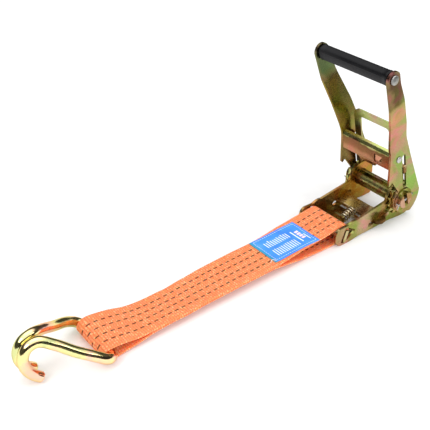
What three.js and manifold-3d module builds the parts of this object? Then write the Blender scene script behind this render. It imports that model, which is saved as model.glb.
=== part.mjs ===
// Fixed end of a 50 mm ratchet strap: a long, wide-handled ratchet, a short doubled strap and a
// claw hook. Millimetres, +Z up. X runs from the hook to the ratchet, Y along the spool.
// The handle stands up from the strap, and each moving piece is a mesh of its own.
import * as THREE from 'three';
import { mergeVertices } from 'three/addons/utils/BufferGeometryUtils.js';
import Module from 'manifold-3d';

const wasm = await Module();
wasm.setup();

// ---------- driving dimensions ----------
const GAP = 0.3;                       // clearance between neighbouring solids
const WEB_WIDTH = 50;                  // strap width
const WEB_THICK = 2.2;                 // one layer of webbing
const SHEET = 3;                       // pressed steel sheet

const SPOOL_Z = 31.5;                  // spool axis above the ground
const SPOOL_R = 10;                    // half-round spool bars
const SPOOL_SLOT = 5;                  // gap between the two bars
const SPOOL_HALF_LENGTH = 42.9;
const SPOOL_TURN = 68.8;               // degrees, so that the slot lines up with the handle
const BORE_R = SPOOL_R + 0.5;          // holes the spool turns in

const FRAME_IN = 27;                   // inner face of a frame side, from the middle
const WHEEL_IN = 30.5;                 // ratchet wheels run outside the frame sides
const WHEEL_THICK = 3.5;
const HANDLE_IN = 34.5;                // handle plates run outside the wheels
const WASHER_IN = HANDLE_IN + SHEET + GAP;
const WASHER_THICK = 1.2;
const PIN_Y = 40.9;                    // split pins through the spool ends
const PIN_R = 1.25;

const TEETH = 14;
const TIP_R = 20.8;
const ROOT_R = 17.2;
const FRAME_NOSE_R = 20.2;             // frame sides stay inside the drive pawl's sweep
const CAM_R = 29.3;                    // release cam on the handle plates
const HUB_R = 16.2;                    // handle plate around the spool, on the strap side

const HANDLE_LEAN = 21.2;              // degrees from upright, towards the strap
const GRIP_Q = 181;                    // spool axis to grip axis
const GRIP_HALF = 46.7;
const ROD_R = 3.6;
const ARM_BEND_Q = 84;                 // arms splay between these two bends
const ARM_TOP_BEND_Q = 147;
const ARM_SPLAY = 11.6 / (ARM_TOP_BEND_Q - ARM_BEND_Q);
const ARM_TOP_SPLAY = 1.5 / (GRIP_Q - ARM_TOP_BEND_Q);
const RIVET = { p: 3.6, q: 60.8, r: 2.6, headR: 4, headThick: 1.3 };

const DRIVE_SLOT = { p: 5.8, q: 15, tilt: 7.7, length: 46.5, width: 5.6 };
const PAWL_THICK = 4.8;
const DRIVE_PAWL = { tip: 5.5, bar: 15, barTop: 20.5, ear: 20, top: 31, tongueTop: 35.5 };
const TRIGGER = { halfWidth: 30, leg: 9.2, foot: 17, top: 86.2, thick: 2.6 };
const BRIDGE = { bottom: 55.5, top: 72.5, halfLength: 34.2 };
const SEAT = { q: 46, back: 15, half: 10.5, thick: 2.4 };   // spring seat below the bridge

const LOCK_SLOT = { x: -45, z: 9.2, slope: 15, front: 30.6, back: -1.8, width: 5.6 };
const LOCK_PAWL = { back: 6.5, tip: 29.2, ear: 20.2, tongueEnd: -8.5 };
const PAWL_BLADE_HALF = 34.2;          // reaches across the wheels
const PAWL_EAR_HALF = 38.8;            // reaches past the handle plates
const TONGUE_HALF = 2.3;
const TONGUE_THICK = 3;
const TONGUE_RISE = 2.4;               // the lock pawl's tongue and spring lie above its blade
const LOCK_SPRING = { start: -13.8, meanR: 4.9, wireR: 0.85, turns: 6 };
const DRIVE_SPRING = { meanR: 3.75, wireR: 0.55, turns: 4 };

const ANCHOR = { x: -85, z: 11.6, tilt: 16.5, tall: 14.5, thick: 4.5, halfLength: 31.2 };
const ANCHOR_LOOP_R = 9;               // inside of the strap's loop on the anchor bar
const HOOK_WIRE_R = 5.25;
const HOOK_BAR = { x: -389.5, z: 8.4 };
const HOOK_LOOP_R = HOOK_WIRE_R + 0.4;
const SEAM = { start: -187, end: -330, z: 5.2 };   // the two layers are sewn between these
const LABEL = { start: -121.5, end: -182.5, halfWidth: 22, skew: 0.08, thick: 0.5 };

// ---------- materials ----------
const steel = (color, roughness = 0.35) =>
  new THREE.MeshStandardMaterial({ color, roughness, metalness: 0.9 });
const cloth = color => new THREE.MeshStandardMaterial({ color, roughness: 0.9, metalness: 0 });
const MATERIALS = {
  plate: () => steel(0xb9ab5c),
  handle: () => steel(0xa8b070),
  spool: () => steel(0x9c8a4c),
  wheel: () => steel(0xc9a877),
  pawl: () => steel(0xb4956a),
  trigger: () => steel(0xbcd98a),
  hook: () => steel(0xd8c766, 0.2),
  spring: () => steel(0x9a9486),
  bright: () => steel(0xd0d2d4, 0.25),
  grip: () => new THREE.MeshStandardMaterial({ color: 0x17181a, roughness: 0.45, metalness: 0 }),
  webbing: () => cloth(0xff7a35),
  label: () => cloth(0x6fc3e6),
};

// ---------- helpers ----------
const rad = degrees => degrees * Math.PI / 180;
const v2 = ([x, y]) => new THREE.Vector2(x, y);
const v3 = ([x, y, z]) => new THREE.Vector3(x, y, z);
const polygon = points => new THREE.Shape(points.map(v2));
const polar = (r, degrees) => [r * Math.cos(rad(degrees)), r * Math.sin(rad(degrees))];

function circle(x, y, r) {
  const path = new THREE.Shape();
  path.absarc(x, y, r, 0, 2 * Math.PI);
  return path;
}

// A rectangle a to b along x and c to d along y with rounded corners.
function roundedBox(a, b, c, d, r) {
  const path = new THREE.Shape();
  path.absarc(b - r, d - r, r, 0, Math.PI / 2);
  path.absarc(a + r, d - r, r, Math.PI / 2, Math.PI);
  path.absarc(a + r, c + r, r, Math.PI, 1.5 * Math.PI);
  path.absarc(b - r, c + r, r, 1.5 * Math.PI, 2 * Math.PI);
  return path;
}

const withHoles = (shape, ...holes) => {
  shape.holes.push(...holes);
  return shape;
};

const prism = (shape, depth, curveSegments) =>
  new THREE.ExtrudeGeometry(shape, { depth, bevelEnabled: false, curveSegments });

// Extrudes a shape drawn in x and z, from y0 to y1.
function acrossY(shape, y0, y1, curveSegments = 8) {
  return prism(shape, y1 - y0, curveSegments).rotateX(Math.PI / 2).translate(0, y1, 0);
}

// Extrudes a shape drawn in x and y, from z0 to z1.
function alongZ(shape, z0, z1, curveSegments = 8) {
  return prism(shape, z1 - z0, curveSegments).translate(0, 0, z0);
}

// Extrudes a shape drawn in y and z, from x0 to x1.
function alongX(shape, x0, x1, curveSegments = 8) {
  return prism(shape, x1 - x0, curveSegments).rotateX(Math.PI / 2).rotateZ(Math.PI / 2)
    .translate(x0, 0, 0);
}

const box = (x0, x1, y0, y1, z0, z1) =>
  new THREE.BoxGeometry(x1 - x0, y1 - y0, z1 - z0)
    .translate((x0 + x1) / 2, (y0 + y1) / 2, (z0 + z1) / 2);

function sweep(curve, r, steps, sides) {
  const section = new THREE.Shape();
  section.absarc(0, 0, r, 0, 2 * Math.PI);
  return new THREE.ExtrudeGeometry(section, {
    extrudePath: curve, steps, curveSegments: sides, bevelEnabled: false });
}

function shared(geometry) {
  const bare = geometry.clone();
  bare.deleteAttribute('normal');
  bare.deleteAttribute('uv');
  return mergeVertices(bare, 1e-4);
}

function solid(geometry) {
  const bare = shared(geometry);
  return new wasm.Manifold(new wasm.Mesh({
    numProp: 3,
    vertProperties: new Float32Array(bare.attributes.position.array),
    triVerts: new Uint32Array(bare.index.array),
  }));
}

function geometryOf(body) {
  const { vertProperties, triVerts } = body.getMesh();
  const geometry = new THREE.BufferGeometry();
  geometry.setAttribute('position', new THREE.BufferAttribute(new Float32Array(vertProperties), 3));
  geometry.setIndex(new THREE.BufferAttribute(new Uint32Array(triVerts), 1));
  return geometry;
}

const union = (first, ...rest) =>
  geometryOf(rest.reduce((body, piece) => body.add(solid(piece)), solid(first)));
const cut = (first, ...tools) =>
  geometryOf(tools.reduce((body, tool) => body.subtract(solid(tool)), solid(first)));
const common = (first, second) => geometryOf(solid(first).intersect(solid(second)));

// The same piece on the other side of the middle plane.
function mirrored(geometry) {
  const copy = shared(geometry).scale(1, -1, 1);
  const index = copy.index.array;
  for (let i = 0; i < index.length; i += 3) {
    [index[i], index[i + 1]] = [index[i + 1], index[i]];
  }
  return copy;
}

function mesh(name, geometry, material) {
  const bare = shared(geometry);
  bare.computeVertexNormals();
  const piece = new THREE.Mesh(bare, material());
  piece.name = name;
  return piece;
}

// A far piece at +Y and its mirror image, the near piece at -Y.
const pair = (name, geometry, material) => [
  mesh(`${name}_far`, geometry, material),
  mesh(`${name}_near`, mirrored(geometry), material),
];

function group(position, turn, pieces) {
  const holder = new THREE.Group();
  holder.position.set(...position);
  holder.rotation.y = rad(turn);
  holder.add(...pieces);
  return holder;
}

class Coil extends THREE.Curve {
  constructor(r, length, turns) {
    super();
    Object.assign(this, { r, length, turns });
  }

  getPoint(t, target = new THREE.Vector3()) {
    const angle = 2 * Math.PI * this.turns * t;
    return target.set(this.r * Math.cos(angle), this.r * Math.sin(angle), this.length * t);
  }
}

const spring = (length, { meanR, wireR, turns }) =>
  sweep(new Coil(meanR, length, turns), wireR, turns * 14, 3);

// ---------- frame ----------
function frameSide() {
  const side = new THREE.Shape();
  side.moveTo(-92, 0);
  side.quadraticCurveTo(-100.5, 4, -100.7, 13);
  side.quadraticCurveTo(-100.5, 21, -95, 23.6);
  side.lineTo(-84, 23.4);
  side.quadraticCurveTo(-80.5, 23.2, -78, 24.6);
  side.quadraticCurveTo(-73, 27, -68, 25.2);
  side.lineTo(-FRAME_NOSE_R, SPOOL_Z);
  side.absarc(0, SPOOL_Z, FRAME_NOSE_R, Math.PI, rad(-22), true);
  side.lineTo(23.5, 6);
  side.quadraticCurveTo(23, 0, 17, 0);
  side.lineTo(8, 0);
  side.lineTo(-8, 1.8);
  side.lineTo(-64, 1.8);
  side.lineTo(-74, 0);
  const anchorHole = polygon([[-80.3, 20.2], [-84.4, 21], [-86.2, 18.8], [-91, 5], [-90.4, 3.2],
    [-88, 2.4], [-84.5, 3], [-70.8, 9.8], [-69.2, 11.9], [-70.2, 14]]);
  side.holes.push(circle(0, SPOOL_Z, BORE_R), anchorHole);
  const slot = acrossY(roundedBox(LOCK_SLOT.back, LOCK_SLOT.front, -LOCK_SLOT.width / 2,
    LOCK_SLOT.width / 2, 2.6), FRAME_IN - 1, FRAME_IN + SHEET + 1, 5);
  slot.rotateY(rad(-LOCK_SLOT.slope)).translate(LOCK_SLOT.x, 0, LOCK_SLOT.z);
  return cut(acrossY(side, FRAME_IN, FRAME_IN + SHEET, 10), slot);
}

// The cross plate ties the two sides. A tab cut from its window stands up as the spring's seat.
function crossPlate() {
  const halfWidth = FRAME_IN - GAP;
  const [left, right, bottom, top] = [-70.5, -37.5, 2.6, 5.6];
  const window = roundedBox(-61.8, -41, -8.4, 8.4, 2);
  const floor = alongZ(withHoles(roundedBox(left, right, -halfWidth, halfWidth, 2), window),
    bottom, top, 4);
  const tab = alongX(roundedBox(-7.6, 7.6, bottom, 16, 2.4), -65.6, -62.6, 4);
  const lip = box(left, left + SHEET, -halfWidth + 2.5, halfWidth - 2.5, bottom + 0.5, 8.6);
  return union(floor, tab, lip);
}

function anchorBar() {
  const section = roundedBox(-ANCHOR.thick / 2, ANCHOR.thick / 2, -ANCHOR.tall / 2,
    ANCHOR.tall / 2, 1.2);
  return acrossY(section, -ANCHOR.halfLength, ANCHOR.halfLength, 4)
    .rotateY(rad(ANCHOR.tilt)).translate(ANCHOR.x, 0, ANCHOR.z - 0.6);
}

const frame = [
  ...pair('frame_side', frameSide(), MATERIALS.plate),
  mesh('frame_cross_plate', crossPlate(), MATERIALS.plate),
  mesh('anchor_bar', anchorBar(), MATERIALS.plate),
];

// ---------- lock pawl, drawn along its slot ----------
function lockPawl() {
  const { back, tip, ear } = LOCK_PAWL;
  const half = [[back, 0], [back, PAWL_EAR_HALF - 5], [back + 5, PAWL_EAR_HALF],
    [ear - 2, PAWL_EAR_HALF], [ear, PAWL_EAR_HALF - 2], [ear, PAWL_BLADE_HALF],
    [tip, PAWL_BLADE_HALF], [tip, 27.6], [tip - 4, 22], [tip - 6, 12], [tip - 6, 0]];
  const other = half.slice(1, -1).reverse().map(([x, y]) => [x, -y]);
  const blade = alongZ(polygon([...half, ...other].reverse()), -PAWL_THICK / 2, PAWL_THICK / 2);
  const tongue = box(LOCK_PAWL.tongueEnd, back + 1, -TONGUE_HALF, TONGUE_HALF,
    TONGUE_RISE - TONGUE_THICK / 2, TONGUE_RISE + TONGUE_THICK / 2);
  return union(blade, tongue);
}

function lockSpring() {
  const { start, wireR } = LOCK_SPRING;
  const length = LOCK_PAWL.back - wireR - GAP - start;
  return spring(length, LOCK_SPRING).rotateY(Math.PI / 2).translate(start, 0, TONGUE_RISE);
}

const lock = group([LOCK_SLOT.x, 0, LOCK_SLOT.z], -LOCK_SLOT.slope, [
  mesh('lock_pawl', lockPawl(), MATERIALS.pawl),
  mesh('lock_spring', lockSpring(), MATERIALS.spring),
]);

// ---------- spool, drawn with its slot along x ----------
function segmentShape(r, chord) {
  const reach = Math.acos(chord / r);
  const shape = new THREE.Shape();
  shape.absarc(0, 0, r, Math.PI / 2 - reach, Math.PI / 2 + reach);
  return shape;
}

function pinTool(y, r) {
  return new THREE.CylinderGeometry(r, r, 30, 14).rotateX(Math.PI / 2).translate(0, y, 0);
}

function spoolBar() {
  const bar = acrossY(segmentShape(SPOOL_R, SPOOL_SLOT / 2), -SPOOL_HALF_LENGTH,
    SPOOL_HALF_LENGTH, 22);
  return cut(bar, pinTool(PIN_Y, PIN_R + GAP), pinTool(-PIN_Y, PIN_R + GAP));
}

// Two holes the shape of the spool bars, with the web between them that turns the piece.
function spoolHoles() {
  const points = segmentShape(SPOOL_R + GAP, SPOOL_SLOT / 2 - GAP).getPoints(18);
  return [1, -1].map(side =>
    new THREE.Shape(points.map(({ x, y }) => new THREE.Vector2(side * x, side * y))));
}

function ratchetWheel() {
  const points = [];
  for (let i = 0; i < TEETH; i++) {
    const start = 360 / TEETH * i;
    points.push(polar(ROOT_R, start - 1.5), polar(TIP_R, start), polar(TIP_R, start + 3.5),
      polar(ROOT_R + 0.6, start + 16));
  }
  return acrossY(withHoles(polygon(points), ...spoolHoles()), WHEEL_IN, WHEEL_IN + WHEEL_THICK);
}

function washer() {
  return acrossY(withHoles(circle(0, 0, 14), ...spoolHoles()), WASHER_IN,
    WASHER_IN + WASHER_THICK, 28);
}

// A split pin: a round shank, an eye at one end and two legs spread at the other.
function splitPin() {
  const reach = SPOOL_R + 1.2;
  const shank = new THREE.CylinderGeometry(PIN_R, PIN_R, 2 * reach, 10)
    .rotateX(Math.PI / 2).translate(0, PIN_Y, 0);
  const eye = new THREE.TorusGeometry(1.1, 0.55, 6, 12).rotateY(Math.PI / 2)
    .translate(0, PIN_Y, reach + 1);
  const leg = side => new THREE.CapsuleGeometry(0.62, 5.2, 3, 8)
    .rotateX(Math.PI / 2).rotateY(-side * rad(55)).translate(side * 2.4, PIN_Y, -reach - 1.1);
  return union(shank, eye, leg(1), leg(-1));
}

const spoolUpper = spoolBar();
const spoolLower = spoolBar().rotateY(Math.PI);
const spool = group([0, 0, SPOOL_Z], SPOOL_TURN, [
  mesh('spool_bar_upper', spoolUpper, MATERIALS.spool),
  mesh('spool_bar_lower', spoolLower, MATERIALS.spool),
  ...pair('ratchet_wheel', ratchetWheel(), MATERIALS.wheel),
  ...pair('spool_washer', washer(), MATERIALS.plate),
  ...pair('split_pin', splitPin(), MATERIALS.bright),
]);

// ---------- handle, drawn upright: x is p, across the handle, and z is q, along it ----------
const slotPoint = (along, off = 0) => {
  const [c, s] = polar(1, DRIVE_SLOT.tilt);
  return [DRIVE_SLOT.p + along * s + off * c, DRIVE_SLOT.q + along * c - off * s];
};

function armBulge(q) {
  const straight = at => ARM_SPLAY * Math.max(0, at - ARM_BEND_Q)
    + (ARM_TOP_SPLAY - ARM_SPLAY) * Math.max(0, at - ARM_TOP_BEND_Q);
  return (straight(q - 3) + straight(q) + straight(q + 3)) / 3;
}

function handleOutline() {
  const plate = new THREE.Shape();
  const [gripP, endR] = [0.5, 9.2];
  plate.moveTo(...polar(CAM_R, -14));
  plate.lineTo(22.2, 54);
  plate.lineTo(19.8, 84);
  plate.lineTo(18.6, 108);
  plate.lineTo(gripP + endR, 170);
  plate.absarc(gripP, GRIP_Q, endR, rad(-8), rad(188));
  plate.lineTo(-8.9, 150);
  plate.lineTo(-7.2, 116);
  plate.lineTo(-7, 76);
  plate.quadraticCurveTo(-7.4, 72, -9, 66);
  plate.lineTo(-17.6, 36);
  plate.lineTo(-17, 34.4);
  plate.lineTo(-15.6, 34.6);
  plate.lineTo(-11.8, 37);
  plate.lineTo(...polar(HUB_R, 108));
  plate.absarc(0, 0, HUB_R, rad(108), rad(232));
  plate.quadraticCurveTo(...polar(21, 246), ...polar(23.6, 268));
  plate.lineTo(...polar(24.4, 276));
  plate.lineTo(...polar(CAM_R, 286));
  plate.absarc(0, 0, CAM_R, rad(286), rad(346));
  return plate;
}

function handlePlate() {
  const plate = handleOutline();
  plate.holes.push(circle(0, 0, BORE_R), circle(0.5, GRIP_Q, ROD_R + GAP),
    circle(RIVET.p, RIVET.q, RIVET.r + GAP));
  const blank = acrossY(plate, HANDLE_IN - 1, HANDLE_IN + 25, 10);
  const stations = [-40, 80, 84, 88, 143, 147, 151, 200];
  const inner = stations.map(q => [HANDLE_IN + armBulge(q), q]);
  const outer = inner.map(([y, q]) => [y + SHEET, q]).reverse();
  const bent = alongX(polygon([...outer, ...inner]), -40, 40);
  const [p, q] = slotPoint(0);
  const half = DRIVE_SLOT.width / 2;
  const slot = acrossY(roundedBox(-half, half, 0, DRIVE_SLOT.length, 2.6), HANDLE_IN - 2,
    HANDLE_IN + SHEET + 2, 5).rotateY(rad(DRIVE_SLOT.tilt)).translate(p, 0, q);
  return cut(common(blank, bent), slot);
}

// The bridge ties the handle plates: a front wall that rolls back at the top, a flange at each
// end riveted to its plate, and a tab that bends back under the wall as the pawl spring's seat.
function handleBridge() {
  const { bottom, top, halfLength } = BRIDGE;
  const wallSection = [[-11.6, bottom], [-8.8, bottom - 0.6], [-5, top - 1.2], [-3.4, top + 0.4],
    [-1.2, top + 1.2], [-1.4, top + 3.8], [-4.6, top + 3.2], [-7.4, top + 0.6]];
  const wall = acrossY(polygon(wallSection), -halfLength, halfLength);
  const flangeShape = polygon([[-9.4, bottom + 2], [6, bottom + 2], [8.4, bottom + 5],
    [8.4, top - 6], [6, top - 1.5], [-5.5, top - 1.5]]);
  const hole = new THREE.CylinderGeometry(RIVET.r + GAP, RIVET.r + GAP, 90, 16)
    .translate(RIVET.p, 0, RIVET.q);
  const flange = cut(acrossY(flangeShape, halfLength - 2.6, halfLength), hole);
  const seatTop = SEAT.q + SEAT.thick;
  const tabShape = polygon([[-11.5, bottom + 2], [-9, bottom + 2], [-6.2, seatTop],
    [SEAT.back, seatTop], [SEAT.back, SEAT.q], [-7.6, SEAT.q], [-9.4, SEAT.q + 1.6]]);
  const tab = acrossY(tabShape, -SEAT.half, SEAT.half);
  const [tongueP] = slotPoint((SEAT.q + 1 - DRIVE_SLOT.q) / Math.cos(rad(DRIVE_SLOT.tilt)));
  const tongueHole = box(tongueP - 2.4, tongueP + 2.4, -3, 3, SEAT.q - 1, seatTop + 1);
  const windowHole = box(-15, -3, -24, -13, 58, 67.5);
  return cut(union(wall, flange, mirrored(flange), tab), tongueHole, windowHole);
}

function bridgeRivet() {
  const outside = HANDLE_IN + SHEET + GAP;
  const shank = [[0, outside - 6.2], [RIVET.r, outside - 6.2], [RIVET.r, outside]];
  const head = [[RIVET.headR, outside], [RIVET.headR * 0.92, outside + RIVET.headThick * 0.6],
    [RIVET.headR * 0.6, outside + RIVET.headThick], [0, outside + RIVET.headThick]];
  return new THREE.LatheGeometry([...shank, ...head].map(v2), 18).translate(RIVET.p, 0, RIVET.q);
}

function gripRod() {
  const face = HANDLE_IN + SHEET + armBulge(GRIP_Q) + 0.6;
  const end = side => [[ROD_R, side * face], [ROD_R + 1.7, side * face],
    [ROD_R + 1.3, side * (face + 1.1)], [ROD_R - 0.6, side * (face + 1.8)], [0, side * (face + 2)]];
  const profile = [...end(-1).reverse(), ...end(1)];
  return new THREE.LatheGeometry(profile.map(v2), 20).translate(0.5, 0, GRIP_Q);
}

function gripSleeve() {
  const section = withHoles(roundedBox(-6.8, 6.8, -8, 8, 5.8), circle(0, 0, ROD_R + GAP));
  return acrossY(section, -GRIP_HALF, GRIP_HALF, 6).translate(0.5, 0, GRIP_Q);
}

// ---------- drive pawl and its trigger, drawn along the drive slot ----------
// A bar joins two blades, which reach down to the wheels and out through the drive slots.
function drivePawl() {
  const { tip, bar, barTop, ear, top, tongueTop } = DRIVE_PAWL;
  const half = [[0, bar], [23, bar], [27.4, tip], [PAWL_BLADE_HALF, tip], [PAWL_BLADE_HALF, ear],
    [PAWL_EAR_HALF - 1.5, ear], [PAWL_EAR_HALF, ear + 1.5], [PAWL_EAR_HALF, top - 1.5],
    [PAWL_EAR_HALF - 1.5, top], [21, top], [16, barTop], [0, barTop]];
  const other = half.slice(1, -1).reverse().map(([y, along]) => [-y, along]);
  const blade = alongX(polygon([...half, ...other]), -PAWL_THICK / 2, PAWL_THICK / 2);
  const tongue = box(-TONGUE_THICK / 2, TONGUE_THICK / 2, -TONGUE_HALF, TONGUE_HALF,
    barTop - 1, tongueTop);
  return union(blade, tongue);
}

function releaseTrigger() {
  const { halfWidth, leg, foot, top, thick } = TRIGGER;
  const outer = new THREE.Shape();
  outer.moveTo(-halfWidth, foot);
  outer.lineTo(-halfWidth + leg, foot);
  outer.absarc(-halfWidth + leg + 4, top - leg - 4, 4, Math.PI, Math.PI / 2, true);
  outer.absarc(halfWidth - leg - 4, top - leg - 4, 4, Math.PI / 2, 0, true);
  outer.lineTo(halfWidth - leg, foot);
  outer.lineTo(halfWidth, foot);
  outer.absarc(halfWidth - 9, top - 9, 9, 0, Math.PI / 2);
  outer.absarc(-halfWidth + 9, top - 9, 9, Math.PI / 2, Math.PI);
  const front = -PAWL_THICK / 2 - GAP;
  return alongX(outer, front - thick, front, 6);
}

function driveSpring() {
  const { wireR } = DRIVE_SPRING;
  const start = DRIVE_PAWL.barTop + wireR + GAP;
  const seat = (SEAT.q - DRIVE_SLOT.q) / Math.cos(rad(DRIVE_SLOT.tilt));
  return spring(seat - 1 - wireR - start, DRIVE_SPRING).translate(0, 0, start);
}

const drive = group([DRIVE_SLOT.p, 0, DRIVE_SLOT.q], DRIVE_SLOT.tilt, [
  mesh('drive_pawl', drivePawl(), MATERIALS.pawl),
  mesh('release_trigger', releaseTrigger(), MATERIALS.trigger),
  mesh('drive_spring', driveSpring(), MATERIALS.spring),
]);

const handle = group([0, 0, SPOOL_Z], -HANDLE_LEAN, [
  ...pair('handle_plate', handlePlate(), MATERIALS.handle),
  mesh('handle_bridge', handleBridge(), MATERIALS.handle),
  ...pair('bridge_rivet', bridgeRivet(), MATERIALS.bright),
  mesh('grip_rod', gripRod(), MATERIALS.bright),
  mesh('grip_sleeve', gripSleeve(), MATERIALS.grip),
  drive,
]);

// ---------- strap ----------
// Upper and lower layer between the anchor loop and the seam, offset outwards by `out`.
const upperStart = out => [[ANCHOR.x, ANCHOR.z + ANCHOR_LOOP_R + out],
  [-108, ANCHOR.z + ANCHOR_LOOP_R - 0.3 + out], [-150, SEAM.z + 3.1 + out],
  [SEAM.start, SEAM.z + out]];
const lowerStart = out => [[SEAM.start, SEAM.z - out], [-150, SEAM.z - 0.9 - out],
  [-120, ANCHOR.z - ANCHOR_LOOP_R - out], [ANCHOR.x, ANCHOR.z - ANCHOR_LOOP_R - out]];
const upperEnd = out => [[SEAM.end, SEAM.z + out], [-355, SEAM.z + out],
  [-372, HOOK_BAR.z + HOOK_LOOP_R + out], [HOOK_BAR.x, HOOK_BAR.z + HOOK_LOOP_R + out]];
const lowerEnd = out => [[HOOK_BAR.x, HOOK_BAR.z - HOOK_LOOP_R - out],
  [-376, HOOK_BAR.z - HOOK_LOOP_R - out], [-360, SEAM.z - out], [SEAM.end, SEAM.z - out]];
const bezierTo = (path, [, a, b, end]) => path.bezierCurveTo(...a, ...b, ...end);

// Both layers and their two open loops, drawn from the side.
function webbing() {
  const side = new THREE.Shape();
  side.absarc(ANCHOR.x, ANCHOR.z, ANCHOR_LOOP_R + WEB_THICK, -Math.PI / 2, Math.PI / 2);
  bezierTo(side, upperStart(WEB_THICK));
  side.lineTo(...upperEnd(WEB_THICK)[0]);
  bezierTo(side, upperEnd(WEB_THICK));
  side.absarc(HOOK_BAR.x, HOOK_BAR.z, HOOK_LOOP_R + WEB_THICK, Math.PI / 2, 1.5 * Math.PI);
  bezierTo(side, lowerEnd(WEB_THICK));
  side.lineTo(...lowerStart(WEB_THICK)[0]);
  bezierTo(side, lowerStart(WEB_THICK));
  const anchorLoop = new THREE.Shape();
  anchorLoop.absarc(ANCHOR.x, ANCHOR.z, ANCHOR_LOOP_R, -Math.PI / 2, Math.PI / 2);
  bezierTo(anchorLoop, upperStart(0));
  bezierTo(anchorLoop, lowerStart(0));
  const hookLoop = new THREE.Shape();
  hookLoop.moveTo(...upperEnd(0)[0]);
  bezierTo(hookLoop, upperEnd(0));
  hookLoop.absarc(HOOK_BAR.x, HOOK_BAR.z, HOOK_LOOP_R, Math.PI / 2, 1.5 * Math.PI);
  bezierTo(hookLoop, lowerEnd(0));
  return acrossY(withHoles(side, anchorLoop, hookLoop), -WEB_WIDTH / 2, WEB_WIDTH / 2, 14);
}

// The label lies on the upper layer and is sewn on a little askew.
function label() {
  const points = out => new THREE.CubicBezierCurve(...upperStart(out).map(v2)).getPoints(60)
    .filter(({ x }) => x < LABEL.start && x > LABEL.end);
  const under = points(WEB_THICK + GAP);
  const over = points(WEB_THICK + GAP + LABEL.thick).reverse();
  const sheet = shared(acrossY(new THREE.Shape([...over, ...under]), -LABEL.halfWidth,
    LABEL.halfWidth));
  const position = sheet.attributes.position;
  const middle = (LABEL.start + LABEL.end) / 2;
  for (let i = 0; i < position.count; i++) {
    position.setY(i, position.getY(i) - 1 - LABEL.skew * (position.getX(i) - middle));
  }
  return sheet;
}

const strap = [
  mesh('webbing', webbing(), MATERIALS.webbing),
  mesh('label', label(), MATERIALS.label),
];

// ---------- claw hook: one wire, bent into a back bar, two legs and a double claw ----------
const HOOK_LEG = [[0, 0, 0], [0, 12, 0], [0, 20, 0], [0, 24.6, 0], [-2.2, 29.6, 1], [-7.5, 31.6, 4.4],
  [-17, 28.6, 11], [-31, 21.4, 19.4], [-46, 12.6, 30.2], [-58.5, 6.4, 36.4], [-68.3, 5.1, 34],
  [-73.8, 5.1, 25.2], [-73.7, 5.5, 14], [-68.6, 6.4, 3.4], [-61.2, 7.4, -4.2]];

function clawHook() {
  const half = side => {
    const points = HOOK_LEG.map(([x, y, z]) =>
      v3([HOOK_BAR.x + x, side * (y - (y === 0 ? 1 : 0)), HOOK_BAR.z + z]));
    return sweep(new THREE.CatmullRomCurve3(points, false, 'centripetal'), HOOK_WIRE_R, 46, 6);
  };
  return union(half(1), half(-1));
}

// ---------- assembly, with the middle of its footprint at the origin ----------
const root = new THREE.Group();
root.add(...frame, lock, spool, handle, ...strap, mesh('claw_hook', clawHook(), MATERIALS.hook));
root.updateMatrixWorld(true);
const bounds = new THREE.Box3().setFromObject(root, true);
const middle = bounds.getCenter(new THREE.Vector3());
root.position.set(-middle.x, -middle.y, -bounds.min.z);
root.updateMatrixWorld(true);

export default root;
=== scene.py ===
import math

import bmesh
import bpy
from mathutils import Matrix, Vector
from mathutils.noise import noise


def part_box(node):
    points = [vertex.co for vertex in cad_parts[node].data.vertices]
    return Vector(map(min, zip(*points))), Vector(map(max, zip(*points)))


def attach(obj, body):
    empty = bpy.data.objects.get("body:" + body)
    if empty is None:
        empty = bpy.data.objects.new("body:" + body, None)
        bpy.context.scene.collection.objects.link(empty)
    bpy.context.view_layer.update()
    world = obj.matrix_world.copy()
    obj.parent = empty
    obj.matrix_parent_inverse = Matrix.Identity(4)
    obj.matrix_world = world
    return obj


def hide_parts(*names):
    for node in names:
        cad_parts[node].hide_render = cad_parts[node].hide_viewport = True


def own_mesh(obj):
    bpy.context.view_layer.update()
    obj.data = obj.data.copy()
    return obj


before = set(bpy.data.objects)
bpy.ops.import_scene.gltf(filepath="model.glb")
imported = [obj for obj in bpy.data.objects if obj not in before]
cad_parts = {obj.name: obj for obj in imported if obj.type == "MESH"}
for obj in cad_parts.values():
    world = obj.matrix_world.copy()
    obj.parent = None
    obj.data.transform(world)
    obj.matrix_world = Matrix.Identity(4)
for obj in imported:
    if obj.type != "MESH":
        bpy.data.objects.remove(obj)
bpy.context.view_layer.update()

# ---------------------------------------------------------------- dimensions, in millimetres
# Side-view points are written from the spool axis: x along the strap, z above the ground.
WASHER_LOW, WASHER_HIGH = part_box("spool_washer_near")
AXIS_X = (WASHER_LOW.x + WASHER_HIGH.x) / 2 * 1000
SPOOL_Z = 31.5
HANDLE_LEAN = math.radians(21.2)
LEAN_COS, LEAN_SIN = math.cos(HANDLE_LEAN), math.sin(HANDLE_LEAN)
WEB_HALF = 25.0
WEB_THICK = 2.2
ANCHOR = (-85.0, 11.6)
ANCHOR_LOOP_R = 9.0
HOOK_BAR = (-389.5, 8.4)
HOOK_LOOP_R = 5.65
HOOK_WIRE_R = 5.25
SEAM_FROM, SEAM_TO = -187.0, -330.0
SEAM_Z = 5.2                 # height of the joint between the two sewn layers
RIB = 2.7                    # pitch of the weave's cross ribs
DASH = 8.1                   # pitch of the dark tracer dashes
DASH_ROWS = (-14.6, -5.2, 4.6, 13.8)
WARP_COLUMN = 1.35           # width of one column of warp threads
PICK_SLIP = 0.28             # how far, in half ribs, every second column's ribs are shifted
LABEL = (-121.5, -182.5, 22.0, 0.08)     # from x, to x, half its width, slant
LABEL_THICK = 0.45


def place(x, y, z):
    return Vector(((x + AXIS_X) / 1000, y / 1000, z / 1000))


def smooth(a, b, t):
    t = min(1.0, max(0.0, (t - a) / (b - a)))
    return t * t * (3 - 2 * t)


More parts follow.
